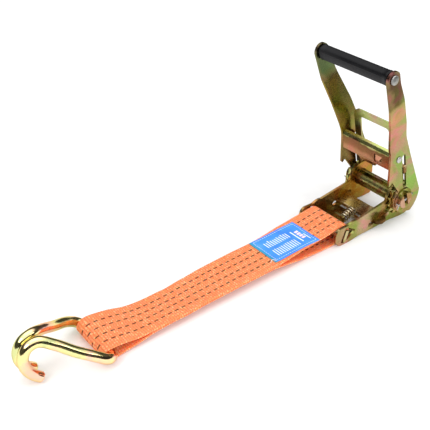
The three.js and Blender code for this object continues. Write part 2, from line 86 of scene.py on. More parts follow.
# ---------------------------------------------------------------- node helpers
def fill_ramp(color_ramp, stops):
    """Sets a ramp's stops, each (position, colour or grey)."""
    elements = color_ramp.elements
    while len(elements) > 1:
        elements.remove(elements[-1])
    elements[0].position = stops[0][0]
    for index, (pos, color) in enumerate(stops):
        element = elements[0] if index == 0 else elements.new(pos)
        element.color = (*color, 1) if isinstance(color, tuple) else (color, color, color, 1)


class Nodes:
    """Builds one procedural material."""

    def __init__(self, name):
        self.material = bpy.data.materials.new(name)
        self.material.use_nodes = True
        self.tree = self.material.node_tree
        self.tree.nodes.clear()
        self.shader = self.tree.nodes.new("ShaderNodeBsdfPrincipled")
        out = self.tree.nodes.new("ShaderNodeOutputMaterial")
        self.link(self.shader.outputs[0], out.inputs["Surface"])
        self.at = self.tree.nodes.new("ShaderNodeTexCoord").outputs["Object"]

    @classmethod
    def reopened(cls, material):
        """The same helper for a material that is already made."""
        n = cls.__new__(cls)
        n.material, n.tree = material, material.node_tree
        n.shader = next(x for x in n.tree.nodes if x.type == "BSDF_PRINCIPLED")
        n.at = next(x for x in n.tree.nodes if x.type == "TEX_COORD").outputs["Object"]
        return n

    def link(self, a, b):
        if isinstance(a, (int, float)):
            b.default_value = a
        elif isinstance(a, tuple):
            b.default_value = (*a, 1.0) if len(a) == 3 and b.type == "RGBA" else a
        else:
            self.tree.links.new(a, b)

    def math(self, op, a, b=0.0, c=0.0):
        node = self.tree.nodes.new("ShaderNodeMath")
        node.operation = op
        for value, socket in zip((a, b, c), node.inputs):
            self.link(value, socket)
        return node.outputs[0]

    def clamp(self, a):
        node = self.tree.nodes.new("ShaderNodeClamp")
        self.link(a, node.inputs[0])
        return node.outputs[0]

    def vec(self, x, y, z):
        node = self.tree.nodes.new("ShaderNodeCombineXYZ")
        for value, socket in zip((x, y, z), node.inputs):
            self.link(value, socket)
        return node.outputs[0]

    def parts(self, v):
        node = self.tree.nodes.new("ShaderNodeSeparateXYZ")
        self.link(v, node.inputs[0])
        return node.outputs

    def mapped(self, v, scale=(1, 1, 1), turn=(0, 0, 0), move=(0, 0, 0)):
        node = self.tree.nodes.new("ShaderNodeMapping")
        self.link(v, node.inputs["Vector"])
        node.inputs["Scale"].default_value = scale
        node.inputs["Rotation"].default_value = turn
        node.inputs["Location"].default_value = move
        return node.outputs[0]

    def noise(self, v, scale, detail=3.0, rough=0.5, twist=0.0):
        node = self.tree.nodes.new("ShaderNodeTexNoise")
        self.link(v, node.inputs["Vector"])
        node.inputs["Scale"].default_value = scale
        node.inputs["Detail"].default_value = detail
        node.inputs["Roughness"].default_value = rough
        node.inputs["Distortion"].default_value = twist
        return node.outputs[0]

    def ramp(self, fac, *stops, ease="LINEAR"):
        node = self.tree.nodes.new("ShaderNodeValToRGB")
        node.color_ramp.interpolation = ease
        fill_ramp(node.color_ramp, stops)
        self.link(fac, node.inputs[0])
        return node.outputs[0]

    def mix(self, fac, a, b, blend="MIX"):
        node = self.tree.nodes.new("ShaderNodeMix")
        node.data_type = "RGBA"
        node.blend_type = blend
        self.link(fac, node.inputs[0])
        self.link(a, node.inputs[6])
        self.link(b, node.inputs[7])
        return node.outputs[2]

    def bump(self, height, strength, distance, normal=None):
        node = self.tree.nodes.new("ShaderNodeBump")
        self.link(height, node.inputs["Height"])
        node.inputs["Strength"].default_value = strength
        node.inputs["Distance"].default_value = distance
        if normal is not None:
            self.link(normal, node.inputs["Normal"])
        return node.outputs[0]

    def uv(self):
        node = self.tree.nodes.new("ShaderNodeUVMap")
        node.uv_map = "UVMap"
        return node.outputs[0]

    def band(self, value, middle, half, soft):
        """1 where value is within half of middle."""
        off = self.math("ABSOLUTE", self.math("SUBTRACT", value, middle))
        return self.clamp(self.math("DIVIDE", self.math("SUBTRACT", half + soft, off), soft))

    def done(self, **inputs):
        for key, value in inputs.items():
            self.link(value, self.shader.inputs[key.replace("_", " ")])
        return self.material


# ---------------------------------------------------------------- plated and bright steel
GOLD, LIME = (0.52, 0.38, 0.12), (0.40, 0.46, 0.16)
BEIGE, PEACH = (0.52, 0.40, 0.22), (0.80, 0.50, 0.26)
BROWN, DARK_BROWN, MINT = (0.26, 0.13, 0.055), (0.085, 0.048, 0.016), (0.34, 0.45, 0.20)
WARM_PINK, WORN = (0.62, 0.36, 0.22), (0.86, 0.84, 0.66)
PLATING_GLINT = (0.72, 0.62, 0.42, 1.0)
ARM_SCALE = 0.2              # the distance along the handle, in metres, that the bands run over
PLATE_LENGTH = 0.1           # the same along the frame, back from the spool


def zinc(name, stops, scale=28.0, rough=(0.2, 0.36), fleck=0.25, seed=0.0, turn=0.0):
    """Yellow chromate over zinc: drifting bands of colour, tiny crystals and handling marks."""
    n = Nodes(name)
    where = n.mapped(n.at, turn=(0, turn, 0), move=(seed, seed * 0.7, -seed))
    drift = n.noise(where, scale, 2.0, 0.45, 0.6)
    finer = n.math("SUBTRACT", n.noise(where, scale * 7, 3.0, 0.6), 0.5)
    base = n.ramp(n.math("ADD", drift, n.math("MULTIPLY", finer, 0.16)), *stops, ease="EASE")
    crystal = n.noise(where, 900.0, 2.0, 0.7)
    base = n.mix(fleck, base, n.ramp(crystal, (0.3, 0.45), (0.7, 1.0)), "MULTIPLY")
    wear = n.ramp(n.noise(where, 160.0, 5.0, 0.7), (0.62, 0.0), (0.72, 1.0))
    base = n.mix(n.math("MULTIPLY", wear, 0.35), base, WORN)
    scratch = n.noise(n.mapped(where, scale=(60, 900, 900)), 1.0, 2.0, 0.6)
    grain = n.math("ADD", n.math("MULTIPLY", crystal, 0.7), n.math("MULTIPLY", scratch, 0.3))
    gloss = n.ramp(grain, (0.3, rough[0]), (0.7, rough[1]))
    normal = n.bump(scratch, 0.015, 0.0004, n.bump(crystal, 0.10, 0.0003))
    n.shader.inputs["Specular Tint"].default_value = PLATING_GLINT
    return n.done(Base_Color=base, Metallic=1.0, Roughness=gloss, Normal=normal)


frame_zinc = zinc(
    "frame zinc",
    [(0.30, (0.22, 0.21, 0.055)), (0.41, (0.34, 0.37, 0.10)), (0.48, (0.56, 0.33, 0.25)),
     (0.57, (0.50, 0.33, 0.16)), (0.68, (0.30, 0.37, 0.13))], scale=30.0, seed=0.31)
inner_zinc = zinc(
    "plate zinc",
    [(0.32, (0.24, 0.14, 0.045)), (0.45, (0.46, 0.39, 0.13)), (0.55, (0.62, 0.55, 0.30)),
     (0.66, (0.48, 0.28, 0.14))], scale=34.0, seed=1.3)
frame_far_zinc = zinc(
    "frame far zinc",
    [(0.32, (0.34, 0.14, 0.018)), (0.45, (0.40, 0.25, 0.045)), (0.55, (0.52, 0.22, 0.07)),
     (0.64, (0.56, 0.38, 0.14))], scale=26.0, seed=1.9)
PATCHES = [(0.34, (0.34, 0.50, 0.26)), (0.44, (0.42, 0.48, 0.36)), (0.50, (0.56, 0.36, 0.46)),
           (0.57, (0.46, 0.38, 0.34)), (0.66, (0.30, 0.46, 0.24))]
PATCH_GAIN = (2.4, 2.4, 2.4)     # brings the patches' colours, as a tint, up to around 1


def banded_zinc(name, cast_of, seed, share, turn=0.0):
    """Plating whose colour depends on the place: the plating's own cast on the near frame, and
    mostly painted reflection on the handle. cast_of gives the cast's colour from x and z, taken
    from the spool axis, and a slow noise. share is how far drifting patches tint it."""
    material = zinc(name, PATCHES, scale=34.0, seed=seed, turn=turn)
    n = Nodes.reopened(material)
    x, _, z = n.parts(n.at)
    x = n.math("SUBTRACT", x, AXIS_X / 1000)
    z = n.math("SUBTRACT", z, SPOOL_Z / 1000)
    cast = cast_of(n, x, z, n.math("SUBTRACT", n.noise(n.at, 45.0, 2.0, 0.5), 0.5))
    base = n.shader.inputs["Base Color"]
    drifting = n.mix(1.0, base.links[0].from_socket, PATCH_GAIN, "MULTIPLY")
    n.link(n.mix(share, cast, n.mix(1.0, cast, drifting, "MULTIPLY")), base)
    return material


def arm_zinc(name, bands, seed, share, rim_share):
    """The handle's colour by place. Bands by the distance along the handle paint the arm's
    reflections, which change where the arm bends, over the plating's own cast; its two rims
    take a green and a pink cast. bands are colours by the distance along the handle from the
    spool, as a share of ARM_SCALE."""
    def cast_of(n, x, z, drift):
        along = n.math("ADD", n.math("MULTIPLY", x, -LEAN_SIN), n.math("MULTIPLY", z, LEAN_COS))
        aside = n.math("ADD", n.math("MULTIPLY", x, LEAN_COS), n.math("MULTIPLY", z, LEAN_SIN))
        along = n.math("ADD", along, n.math("MULTIPLY", drift, 0.014))
        # painted reflection: the colour by the distance along the arm stands in for what each part
        # of the bent arm reflects
        cast = n.ramp(n.math("DIVIDE", along, ARM_SCALE), *bands)
        aside = n.math("ADD", aside, n.math("MULTIPLY", drift, 0.03))
        green_rim = n.ramp(aside, (0.006, 0.0), (0.014, 0.6 * rim_share))
        pink_rim = n.ramp(n.math("MULTIPLY", aside, -1.0), (0.004, 0.0), (0.009, 0.5 * rim_share))
        return n.mix(pink_rim, n.mix(green_rim, cast, MINT), WARM_PINK)

    return banded_zinc(name, cast_of, seed, share, HANDLE_LEAN)


def near_frame_cast(n, x, z, drift):
    """Pink at the strap's end and in the middle of the plate, green by the slot."""
    moved = n.math("ADD", x, n.math("MULTIPLY", drift, 0.03))
    share = n.math("ADD", n.math("MULTIPLY", moved, 1 / PLATE_LENGTH), 1.0)
    return n.ramp(share, (0.02, (0.46, 0.27, 0.18)), (0.14, (0.56, 0.31, 0.25)),
                  (0.22, (0.34, 0.27, 0.11)), (0.32, (0.34, 0.33, 0.12)),
                  (0.42, (0.56, 0.36, 0.28)), (0.54, (0.46, 0.38, 0.19)),
                  (0.64, (0.24, 0.29, 0.08)), (0.80, (0.36, 0.29, 0.11)),
                  (0.98, (0.30, 0.31, 0.10)))


near_frame = banded_zinc("near frame zinc", near_frame_cast, seed=0.31, share=0.7)
# Near arm: from 0.735 on, above the upper bend, the dark browns are a painted dark reflection; the
# bands below mix the plating's own greens and pinks with painted reflection.
near_arm_painted_reflection = arm_zinc(
    "near arm zinc with painted reflection",
    [(0.0, (0.30, 0.29, 0.11)), (0.10, (0.30, 0.36, 0.12)), (0.20, (0.40, 0.26, 0.19)),
     (0.27, (0.30, 0.34, 0.13)), (0.36, (0.32, 0.32, 0.14)), (0.44, (0.46, 0.27, 0.20)),
     (0.55, (0.53, 0.30, 0.24)), (0.64, (0.50, 0.34, 0.18)), (0.71, (0.44, 0.26, 0.19)),
     (0.735, (0.15, 0.085, 0.06)), (0.80, (0.12, 0.085, 0.05)), (0.88, (0.12, 0.055, 0.06)),
     (1.0, (0.14, 0.09, 0.06))], seed=2.27, share=0.8, rim_share=0.6)
# Far arm: the dark olive-browns are a painted dark reflection on its inner face, and the lighter
# gold bands just below the bends are a painted lighter reflection.
far_arm_painted_reflection = arm_zinc(
    "far arm zinc with painted reflection",
    [(0.0, (0.15, 0.095, 0.028)), (0.28, (0.17, 0.11, 0.035)), (0.36, (0.28, 0.19, 0.055)),
     (0.42, (0.18, 0.14, 0.02)), (0.60, (0.17, 0.14, 0.022)), (0.70, (0.28, 0.21, 0.04)),
     (0.735, (0.12, 0.105, 0.035)), (0.80, (0.10, 0.125, 0.06)), (0.90, (0.13, 0.14, 0.08)),
     (1.0, (0.20, 0.14, 0.07))], seed=3.61, share=0.4, rim_share=0.3)
# Bridge: the darker band from 0.325 to 0.368 is a painted shadow under the ridge, and the light
# lime from 0.377 on is a painted highlight on the ridge.
bridge_zinc_painted_shadow_highlight = arm_zinc(
    "bridge zinc with painted shadow and highlight",
    [(0.20, (0.34, 0.19, 0.10)), (0.27, (0.48, 0.22, 0.14)), (0.30, (0.46, 0.20, 0.12)),
     (0.325, (0.27, 0.12, 0.06)), (0.368, (0.19, 0.095, 0.045)), (0.377, (0.46, 0.46, 0.17)),
     (0.40, (0.56, 0.56, 0.23))], seed=7.1, share=0.3, rim_share=0.0)
spool_zinc = zinc(
    "spool zinc",
    [(0.32, (0.26, 0.22, 0.05)), (0.46, (0.48, 0.46, 0.16)), (0.56, (0.40, 0.22, 0.10)),
     (0.66, (0.60, 0.36, 0.26))], scale=40.0, seed=0.9)
wheel_zinc = zinc("wheel zinc", [(0.32, BROWN), (0.45, GOLD), (0.56, LIME), (0.66, PEACH)],
                  scale=60.0, rough=(0.16, 0.3), seed=4.1)
pawl_zinc = zinc("pawl zinc", [(0.32, DARK_BROWN), (0.45, BROWN), (0.56, BEIGE), (0.66, GOLD)],
                 scale=44.0, seed=5.2)
trigger_zinc = zinc(
    "trigger zinc",
    [(0.32, (0.30, 0.32, 0.09)), (0.48, (0.46, 0.52, 0.17)), (0.58, (0.50, 0.46, 0.22)),
     (0.70, (0.56, 0.34, 0.24))], scale=30.0, rough=(0.24, 0.4), seed=3.4)
hook_zinc = zinc(
    "hook zinc",
    [(0.36, (0.98, 0.60, 0.44)), (0.45, (0.97, 0.70, 0.40)), (0.52, (0.92, 0.79, 0.35)),
     (0.62, (0.68, 0.70, 0.32))], scale=40.0, rough=(0.06, 0.12), fleck=0.08, seed=2.9)
spring_steel = zinc(
    "spring steel",
    [(0.35, (0.30, 0.26, 0.18)), (0.5, (0.72, 0.62, 0.42)), (0.65, (0.80, 0.78, 0.70))],
    scale=120.0, rough=(0.15, 0.28), seed=8.0)
bright_steel = zinc(
    "bright steel",
    [(0.35, (0.36, 0.36, 0.35)), (0.5, (0.50, 0.50, 0.49)), (0.65, (0.62, 0.62, 0.60))],
    scale=90.0, rough=(0.38, 0.52), seed=9.0)


# ---------------------------------------------------------------- plastic, cloth and thread
def grip_material():
    n = Nodes("grip plastic")
    grain = n.noise(n.at, 1500.0, 3.0, 0.6)
    drift = n.noise(n.at, 45.0, 3.0, 0.5)
    base = n.ramp(drift, (0.35, (0.004, 0.004, 0.005)), (0.65, (0.009, 0.009, 0.010)))
    gloss = n.ramp(n.math("ADD", n.math("MULTIPLY", grain, 0.4), n.math("MULTIPLY", drift, 0.6)),
                   (0.35, 0.34), (0.65, 0.52))
    return n.done(Base_Color=base, Roughness=gloss, Specular_IOR_Level=0.16,
                  Normal=n.bump(grain, 0.25, 0.0002))


def webbing_material():
    """Woven polyester. U runs along the strap and V across it, both in millimetres."""
    n = Nodes("webbing weave")
    u, v, _ = n.parts(n.uv())
    wobble_at = n.vec(n.math("MULTIPLY", u, 0.15), n.math("MULTIPLY", v, 0.6), 0.0)
    wobble = n.math("MULTIPLY", n.math("SUBTRACT", n.noise(wobble_at, 1.0, 2.0), 0.5), 1.3)
    along = n.math("DIVIDE", n.math("ADD", u, wobble), RIB)
    # every second warp column floats over the opposite picks
    column = n.math("DIVIDE", v, WARP_COLUMN)
    shift = n.math("MULTIPLY", n.math("MODULO", n.math("FLOOR", column), 2.0), 0.5)
    shifted = n.math("ADD", along, n.math("MULTIPLY", shift, PICK_SLIP))
    rib_phase = n.math("FRACT", n.math("ADD", shifted, 100.0))
    rib = n.math("SINE", n.math("MULTIPLY", rib_phase, math.pi))
    thread_phase = n.math("FRACT", n.math("ADD", column, 100.0))
    thread = n.math("SINE", n.math("MULTIPLY", thread_phase, math.pi))
    crown = n.math("ADD", n.math("MULTIPLY", n.math("POWER", thread, 0.5), 0.45), 0.55)
    height = n.math("MULTIPLY", n.math("POWER", rib, 0.6), crown)
    fibre_at = n.vec(n.math("MULTIPLY", u, 0.5), n.math("MULTIPLY", v, 7.0), 0.0)
    fibre = n.noise(fibre_at, 1.0, 3.0, 0.7)
    patch_at = n.vec(n.math("MULTIPLY", u, 0.03), n.math("MULTIPLY", v, 0.09), 0.0)
    patch = n.noise(patch_at, 1.0, 2.0)
    # painted shade and highlight: the weave's colour follows its height, darker in the valleys
    # between the ribs and lighter on their crowns
    base = n.ramp(height, (0.0, (0.55, 0.060, 0.012)), (0.38, (0.88, 0.158, 0.048)),
                  (1.0, (0.98, 0.262, 0.108)))
    base = n.mix(n.math("MULTIPLY", fibre, 0.35), base, (1.0, 0.40, 0.20))
    base = n.mix(n.math("MULTIPLY", patch, 0.25), base, (0.95, 0.15, 0.035))
    # pale flecks on the ribs' crowns: painted glints
    cell = n.tree.nodes.new("ShaderNodeTexWhiteNoise")
    cell.noise_dimensions = "2D"
    n.link(n.vec(n.math("FLOOR", along), n.math("FLOOR", column), 0.0), cell.inputs["Vector"])
    fleck = n.math("MULTIPLY", n.math("GREATER_THAN", cell.outputs[0], 0.76),
                   n.math("GREATER_THAN", height, 0.72))
    base = n.mix(n.math("MULTIPLY", fleck, 0.42), base, (1.0, 0.66, 0.34))
    # four rows of dark tracer threads, each a float over two picks
    marks = None
    for row, middle in enumerate(DASH_ROWS):
        strip = n.band(v, middle, 0.62, 0.3)
        phase = n.math("FRACT", n.math("ADD", n.math("DIVIDE", n.math("ADD", u, wobble), DASH),
                                       100.0 + 0.5 * (row % 2) + 0.07 * row))
        dash = n.band(phase, 0.5, 0.25, 0.05)
        one = n.math("MULTIPLY", strip, dash)
        marks = one if marks is None else n.math("MAXIMUM", marks, one)
    fade = n.noise(n.vec(n.math("MULTIPLY", u, 0.1), v, 3.0), 1.0, 2.0)
    faded = n.math("MULTIPLY", marks, n.ramp(fade, (0.35, 0.8), (0.6, 1.0)))
    base = n.mix(faded, base, (0.020, 0.005, 0.003))
    normal = n.bump(n.math("ADD", height, n.math("MULTIPLY", fibre, 0.25)), 0.75, 0.00045)
    material = n.done(Base_Color=base, Roughness=0.78, Normal=normal)
    n.shader.inputs["Subsurface Weight"].default_value = 0.5
    n.shader.inputs["Subsurface Radius"].default_value = (0.012, 0.0016, 0.0006)
    n.shader.inputs["Subsurface Scale"].default_value = 1.0
    n.shader.inputs["Specular IOR Level"].default_value = 0.2
    n.shader.inputs["Sheen Weight"].default_value = 0.08
    n.shader.inputs["Sheen Roughness"].default_value = 0.4
    n.shader.inputs["Sheen Tint"].default_value = (1.0, 0.45, 0.2, 1.0)
    return material


def label_material():
    """A coated woven label: fine weave, a drifting blue and a darker folded hem."""
    n = Nodes("label cloth")
    u, v, _ = n.parts(n.uv())
    warp = n.math("SINE", n.math("MULTIPLY", u, 2 * math.pi / 0.7))
    weft = n.math("SINE", n.math("MULTIPLY", v, 2 * math.pi / 0.7))
    weave = n.math("MULTIPLY", warp, weft)
    patch = n.noise(n.vec(n.math("MULTIPLY", u, 0.06), n.math("MULTIPLY", v, 0.06), 1.0), 1.0, 3.0)
    base = n.ramp(patch, (0.35, (0.018, 0.185, 0.76)), (0.55, (0.030, 0.255, 0.88)),
                  (0.7, (0.060, 0.300, 0.86)))
    base = n.mix(n.math("MULTIPLY", n.math("ADD", weave, 1.0), 0.05), base, (0.45, 0.72, 1.0))
    hem = n.band(u, 60.0, 1.5, 0.3)
    base = n.mix(n.math("MULTIPLY", hem, 0.85), base, (0.02, 0.30, 0.42))
    normal = n.bump(weave, 0.3, 0.00012, n.bump(patch, 0.3, 0.001))
    n.shader.inputs["Specular IOR Level"].default_value = 0.3
    return n.done(Base_Color=base, Roughness=0.55, Normal=normal)


def print_material(name, colors):
    n = Nodes(name)
    wear = n.noise(n.at, 700.0, 3.0, 0.7)
    base = n.ramp(wear, (0.35, colors[0]), (0.6, colors[1]))
    return n.done(Base_Color=base, Roughness=n.ramp(wear, (0.3, 0.5), (0.7, 0.7)),
                  Normal=n.bump(wear, 0.2, 0.0001))


def thread_material(name, dark, light):
    n = Nodes(name)
    twist = n.noise(n.mapped(n.at, scale=(1800, 1800, 1800)), 1.0, 2.0, 0.5)
    base = n.ramp(twist, (0.35, dark), (0.65, light))
    return n.done(Base_Color=base, Roughness=0.8, Normal=n.bump(twist, 0.4, 0.0002))


def floor_material():
    n = Nodes("pale floor")
    grain = n.noise(n.at, 60.0, 3.0, 0.5)
    return n.done(Base_Color=n.ramp(grain, (0.3, 0.86), (0.7, 0.89)), Roughness=0.9)


# ---------------------------------------------------------------- mesh helpers
def new_piece(name, mesh, material, body, *replaced, slot=None):
    piece = bpy.data.objects.new(name, mesh)
    bpy.context.scene.collection.objects.link(piece)
    mesh.materials.clear()
    mesh.materials.append(material)
    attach(piece, body)
    if replaced:
        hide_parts(*replaced)
    return piece


def shade_smooth(mesh):
    mesh.polygons.foreach_set("use_smooth", [True] * len(mesh.polygons))


def smooth_by_angle(mesh, degrees=38.0):
    shade_smooth(mesh)
    mesh.set_sharp_from_angle(angle=math.radians(degrees))


def face_outwards(mesh):
    bm = bmesh.new()
    bm.from_mesh(mesh)
    bmesh.ops.recalc_face_normals(bm, faces=bm.faces)
    bm.to_mesh(mesh)
    bm.free()


def refined(node, material, body, slot, bevel, segments=2, sharp=32.0):
    """A finished copy of a CAD node: flat faces merged and the pressed edges rounded."""
    bm = bmesh.new()
    bm.from_mesh(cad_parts[node].data)
    bmesh.ops.remove_doubles(bm, verts=bm.verts, dist=2e-6)
    bmesh.ops.dissolve_limit(bm, angle_limit=math.radians(1.0), verts=bm.verts, edges=bm.edges)
    edges = [e for e in bm.edges if len(e.link_faces) == 2
             and e.calc_face_angle(0) > math.radians(sharp)]
    bmesh.ops.bevel(bm, geom=edges, offset=bevel / 1000, offset_type="OFFSET", segments=segments,
                    profile=0.5, affect="EDGES", clamp_overlap=True)
    mesh = bpy.data.meshes.new(node + "_fine")
    bm.to_mesh(mesh)
    bm.free()
    smooth_by_angle(mesh)
    piece = new_piece(node + "_fine", mesh, material, body, node, slot=slot)
    weighted = piece.modifiers.new("normals", "WEIGHTED_NORMAL")
    weighted.keep_sharp = True


def mesh_from(name, verts, faces, uvs=None):
    mesh = bpy.data.meshes.new(name)
    mesh.from_pydata(verts, [], faces)
    if uvs is not None:
        layer = mesh.uv_layers.new(name="UVMap")
        for polygon, row in zip(mesh.polygons, uvs):
            for loop, value in zip(polygon.loop_indices, row):
                layer.data[loop].uv = value
    mesh.validate()
    return mesh


def band_faces(rings, sides, first=0):
    """The quads between rings of points that follow each other, each closed on itself."""
    faces = []
    for i in range(rings - 1):
        for k in range(sides):
            a, b = first + i * sides + k, first + i * sides + (k + 1) % sides
            faces.append((a, b, b + sides, a + sides))
    return faces


def tube(name, points, radius, sides):
    """A round wire along points, with frames carried along without twist and closed ends."""
    count = len(points)
    tangents = [(points[min(i + 1, count - 1)] - points[max(i - 1, 0)]).normalized()
                for i in range(count)]
    across = tangents[0].orthogonal().normalized()
    verts = []
    radii = radius if isinstance(radius, list) else [radius] * count
    for i, (point, tangent) in enumerate(zip(points, tangents)):
        across = (across - tangent * across.dot(tangent)).normalized()
        other = tangent.cross(across)
        for k in range(sides):
            a = 2 * math.pi * k / sides
            verts.append(point + (across * math.cos(a) + other * math.sin(a)) * radii[i])
    faces = band_faces(count, sides)
    faces.append(tuple(reversed(range(sides))))
    faces.append(tuple(range((count - 1) * sides, count * sides)))
    return mesh_from(name, verts, faces)


def bezier(points, count):
    (ax, az), (bx, bz), (cx, cz), (dx, dz) = points
    out = []
    for i in range(count + 1):
        t = i / count
        w = ((1 - t) ** 3, 3 * t * (1 - t) ** 2, 3 * t * t * (1 - t), t ** 3)
        out.append((w[0] * ax + w[1] * bx + w[2] * cx + w[3] * dx,
                    w[0] * az + w[1] * bz + w[2] * cz + w[3] * dz))
    return out


def arc(centre, r, start, end, count):
    return [(centre[0] + r * math.cos(math.radians(start + (end - start) * i / count)),
             centre[1] + r * math.sin(math.radians(start + (end - start) * i / count)))
            for i in range(count + 1)]


def resampled(path, step):
    """Evenly spaced points on a path, as (x, z, length so far)."""
    lengths = [0.0]
    for a, b in zip(path, path[1:]):
        lengths.append(lengths[-1] + math.dist(a, b))
    count = max(2, round(lengths[-1] / step))
    out, k = [], 0
    for i in range(count + 1):
        s = lengths[-1] * i / count
        while k < len(path) - 2 and lengths[k + 1] < s:
            k += 1
        t = (s - lengths[k]) / max(1e-9, lengths[k + 1] - lengths[k])
        out.append((path[k][0] + (path[k + 1][0] - path[k][0]) * t,
                    path[k][1] + (path[k + 1][1] - path[k][1]) * t, s))
    return out


# ---------------------------------------------------------------- strap
def upper_start(out):
    top = ANCHOR[1] + ANCHOR_LOOP_R
    return [(ANCHOR[0], top + out), (-108, top - 0.3 + out), (-150, SEAM_Z + 3.1 + out),
            (SEAM_FROM, SEAM_Z + out)]


def lower_start(out):
    base = ANCHOR[1] - ANCHOR_LOOP_R
    return [(SEAM_FROM, SEAM_Z - out), (-150, SEAM_Z - 0.9 - out), (-120, base - out),
            (ANCHOR[0], base - out)]


def upper_end(out):
    top = HOOK_BAR[1] + HOOK_LOOP_R
    return [(SEAM_TO, SEAM_Z + out), (-355, SEAM_Z + out), (-372, top + out),
            (HOOK_BAR[0], top + out)]


def lower_end(out):
    base = HOOK_BAR[1] - HOOK_LOOP_R
    return [(HOOK_BAR[0], base - out), (-376, base - out), (-360, SEAM_Z - out),
            (SEAM_TO, SEAM_Z - out)]


# How far the strap's two edges lie above its flat form, at points along it.
FAR_EDGE = [(-398, 0), (-384, 2.2), (-362, 2.4), (-338, 0.2), (-318, -1.6), (-298, -1.2),
            (-278, 1.2), (-252, 3.4), (-222, 4.6), (-186, 5.2), (-150, 3.6), (-124, 1.2), (-104, 0)]
NEAR_EDGE = [(-398, 0), (-362, 0.4), (-338, 3.2), (-316, 4.8), (-262, 5.2), (-222, 5.8),
             (-186, 6.0), (-150, 4.0), (-124, 1.2), (-104, 0)]


def curve(table, x):
    if x <= table[0][0] or x >= table[-1][0]:
        return 0.0
    for (a, u), (b, v) in zip(table, table[1:]):
        if x <= b:
            return u + (v - u) * (smooth(a, b, x) * 0.4 + (x - a) / (b - a) * 0.6)


def lay(x, y, z):
    """Where the strap really lies: it is bowed and rolled a little and its edges wander."""
    share = 0.5 + y / (2 * WEB_HALF)
    raised = curve(FAR_EDGE, x) * share + curve(NEAR_EDGE, x) * (1 - share)
    if z < SEAM_Z and x > SEAM_FROM:       # the lower layer comes back down to the ground
        raised *= 1 - smooth(SEAM_FROM, -128, x)
    z += raised
    edge = smooth(0.55, 1.0, abs(y) / WEB_HALF)
    loose = 1 - smooth(-120, -96, x)
    z += loose * edge * 0.8 * noise(Vector((x / 38, math.copysign(3, y), 0.5)))
    z += loose * 0.35 * noise(Vector((x / 24, y / 22, 7.1)))
    drift = noise(Vector((x / 30, math.copysign(9, y), 2.5)))
    y += loose * edge * 0.5 * math.copysign(1, y) * drift
    return place(x, y, max(z, 0.15))


def webbing_piece():
    """One closed band: round the anchor bar, along the top, round the hook bar and back below."""
    mid = WEB_THICK / 2
    path = (arc(ANCHOR, ANCHOR_LOOP_R + mid, -90, 90, 24) + bezier(upper_start(mid), 60)[1:]
            + bezier(upper_end(mid), 40) + arc(HOOK_BAR, HOOK_LOOP_R + mid, 90, 270, 20)[1:]
            + bezier(lower_end(mid), 40)[1:] + bezier(lower_start(mid), 60))
    path = resampled(path, 1.35)[:-1]
    count = len(path)
    # the band's outline across: a thin slab with round selvedges
    half, selvedge = WEB_THICK / 2 - 0.04, 1.1
    flat, across, turned = WEB_HALF - selvedge, 22, 6
    angles = [math.pi * k / turned for k in range(1, turned)]
    ring = [(-flat + 2 * flat * i / across, half) for i in range(across + 1)]
    ring += [(flat + selvedge * math.sin(a), half * math.cos(a)) for a in angles]
    ring += [(flat - 2 * flat * i / across, -half) for i in range(across + 1)]
    ring += [(-flat - selvedge * math.sin(a), -half * math.cos(a)) for a in angles]
    size = len(ring)
    verts, faces, uvs = [], [], []
    for i, (x, z, _) in enumerate(path):
        (px, pz, _), (qx, qz, _) = path[i - 1], path[(i + 1) % count]
        tangent = Vector((qx - px, qz - pz)).normalized()
        nx, nz = tangent[1], -tangent[0]       # outwards, as the path runs counter-clockwise
        for y, off in ring:
            verts.append(lay(x + nx * off, y, z + nz * off))
    total = path[-1][2] + math.dist(path[-1][:2], path[0][:2])
    for i in range(count):
        j = (i + 1) % count
        u0, u1 = path[i][2], (total if j == 0 else path[j][2])
        for k in range(size):
            m = (k + 1) % size
            faces.append((i * size + k, i * size + m, j * size + m, j * size + k))
            v0, v1 = ring[k][0], ring[m][0]
            uvs.append(((u0, v0), (u0, v1), (u1, v1), (u1, v0)))
    mesh = mesh_from("webbing_band", verts, faces, uvs)
    face_outwards(mesh)
    shade_smooth(mesh)
    piece = new_piece("webbing_band", mesh, webbing_material(), "strap", "webbing", slot="webbing")
    return piece, total


webbing, WEB_LENGTH = webbing_piece()

# The upper layer's path under the label, from the ratchet end, as (x, z, length so far).
LABEL_PATH = [p for p in resampled(bezier(upper_start(WEB_THICK + 0.3), 200), 0.5)
              if LABEL[1] <= p[0] <= LABEL[0]]
LABEL_LENGTH = LABEL_PATH[-1][2] - LABEL_PATH[0][2]
LABEL_MIDDLE = (LABEL[0] + LABEL[1]) / 2


def on_label(u, v, lift=0.0):
    """A point on the label: u from its ratchet end and v across it, in millimetres."""
    t = max(0.0, min(1.0, u / LABEL_LENGTH)) * (len(LABEL_PATH) - 1)
    k = min(len(LABEL_PATH) - 2, int(t))
    (ax, az, _), (bx, bz, _) = LABEL_PATH[k], LABEL_PATH[k + 1]
    x, z = ax + (bx - ax) * (t - k), az + (bz - az) * (t - k)
    length = math.dist((ax, az), (bx, bz))
    nx, nz = (bz - az) / length, -(bx - ax) / length
    x, z = x + nx * lift, z + nz * lift
    y = v - 1 - LABEL[3] * (x - LABEL_MIDDLE)
    z += 0.35 * noise(Vector((x / 16, y / 16, 4.0)))
    return lay(x, max(-27.5, min(27.5, y)), z)


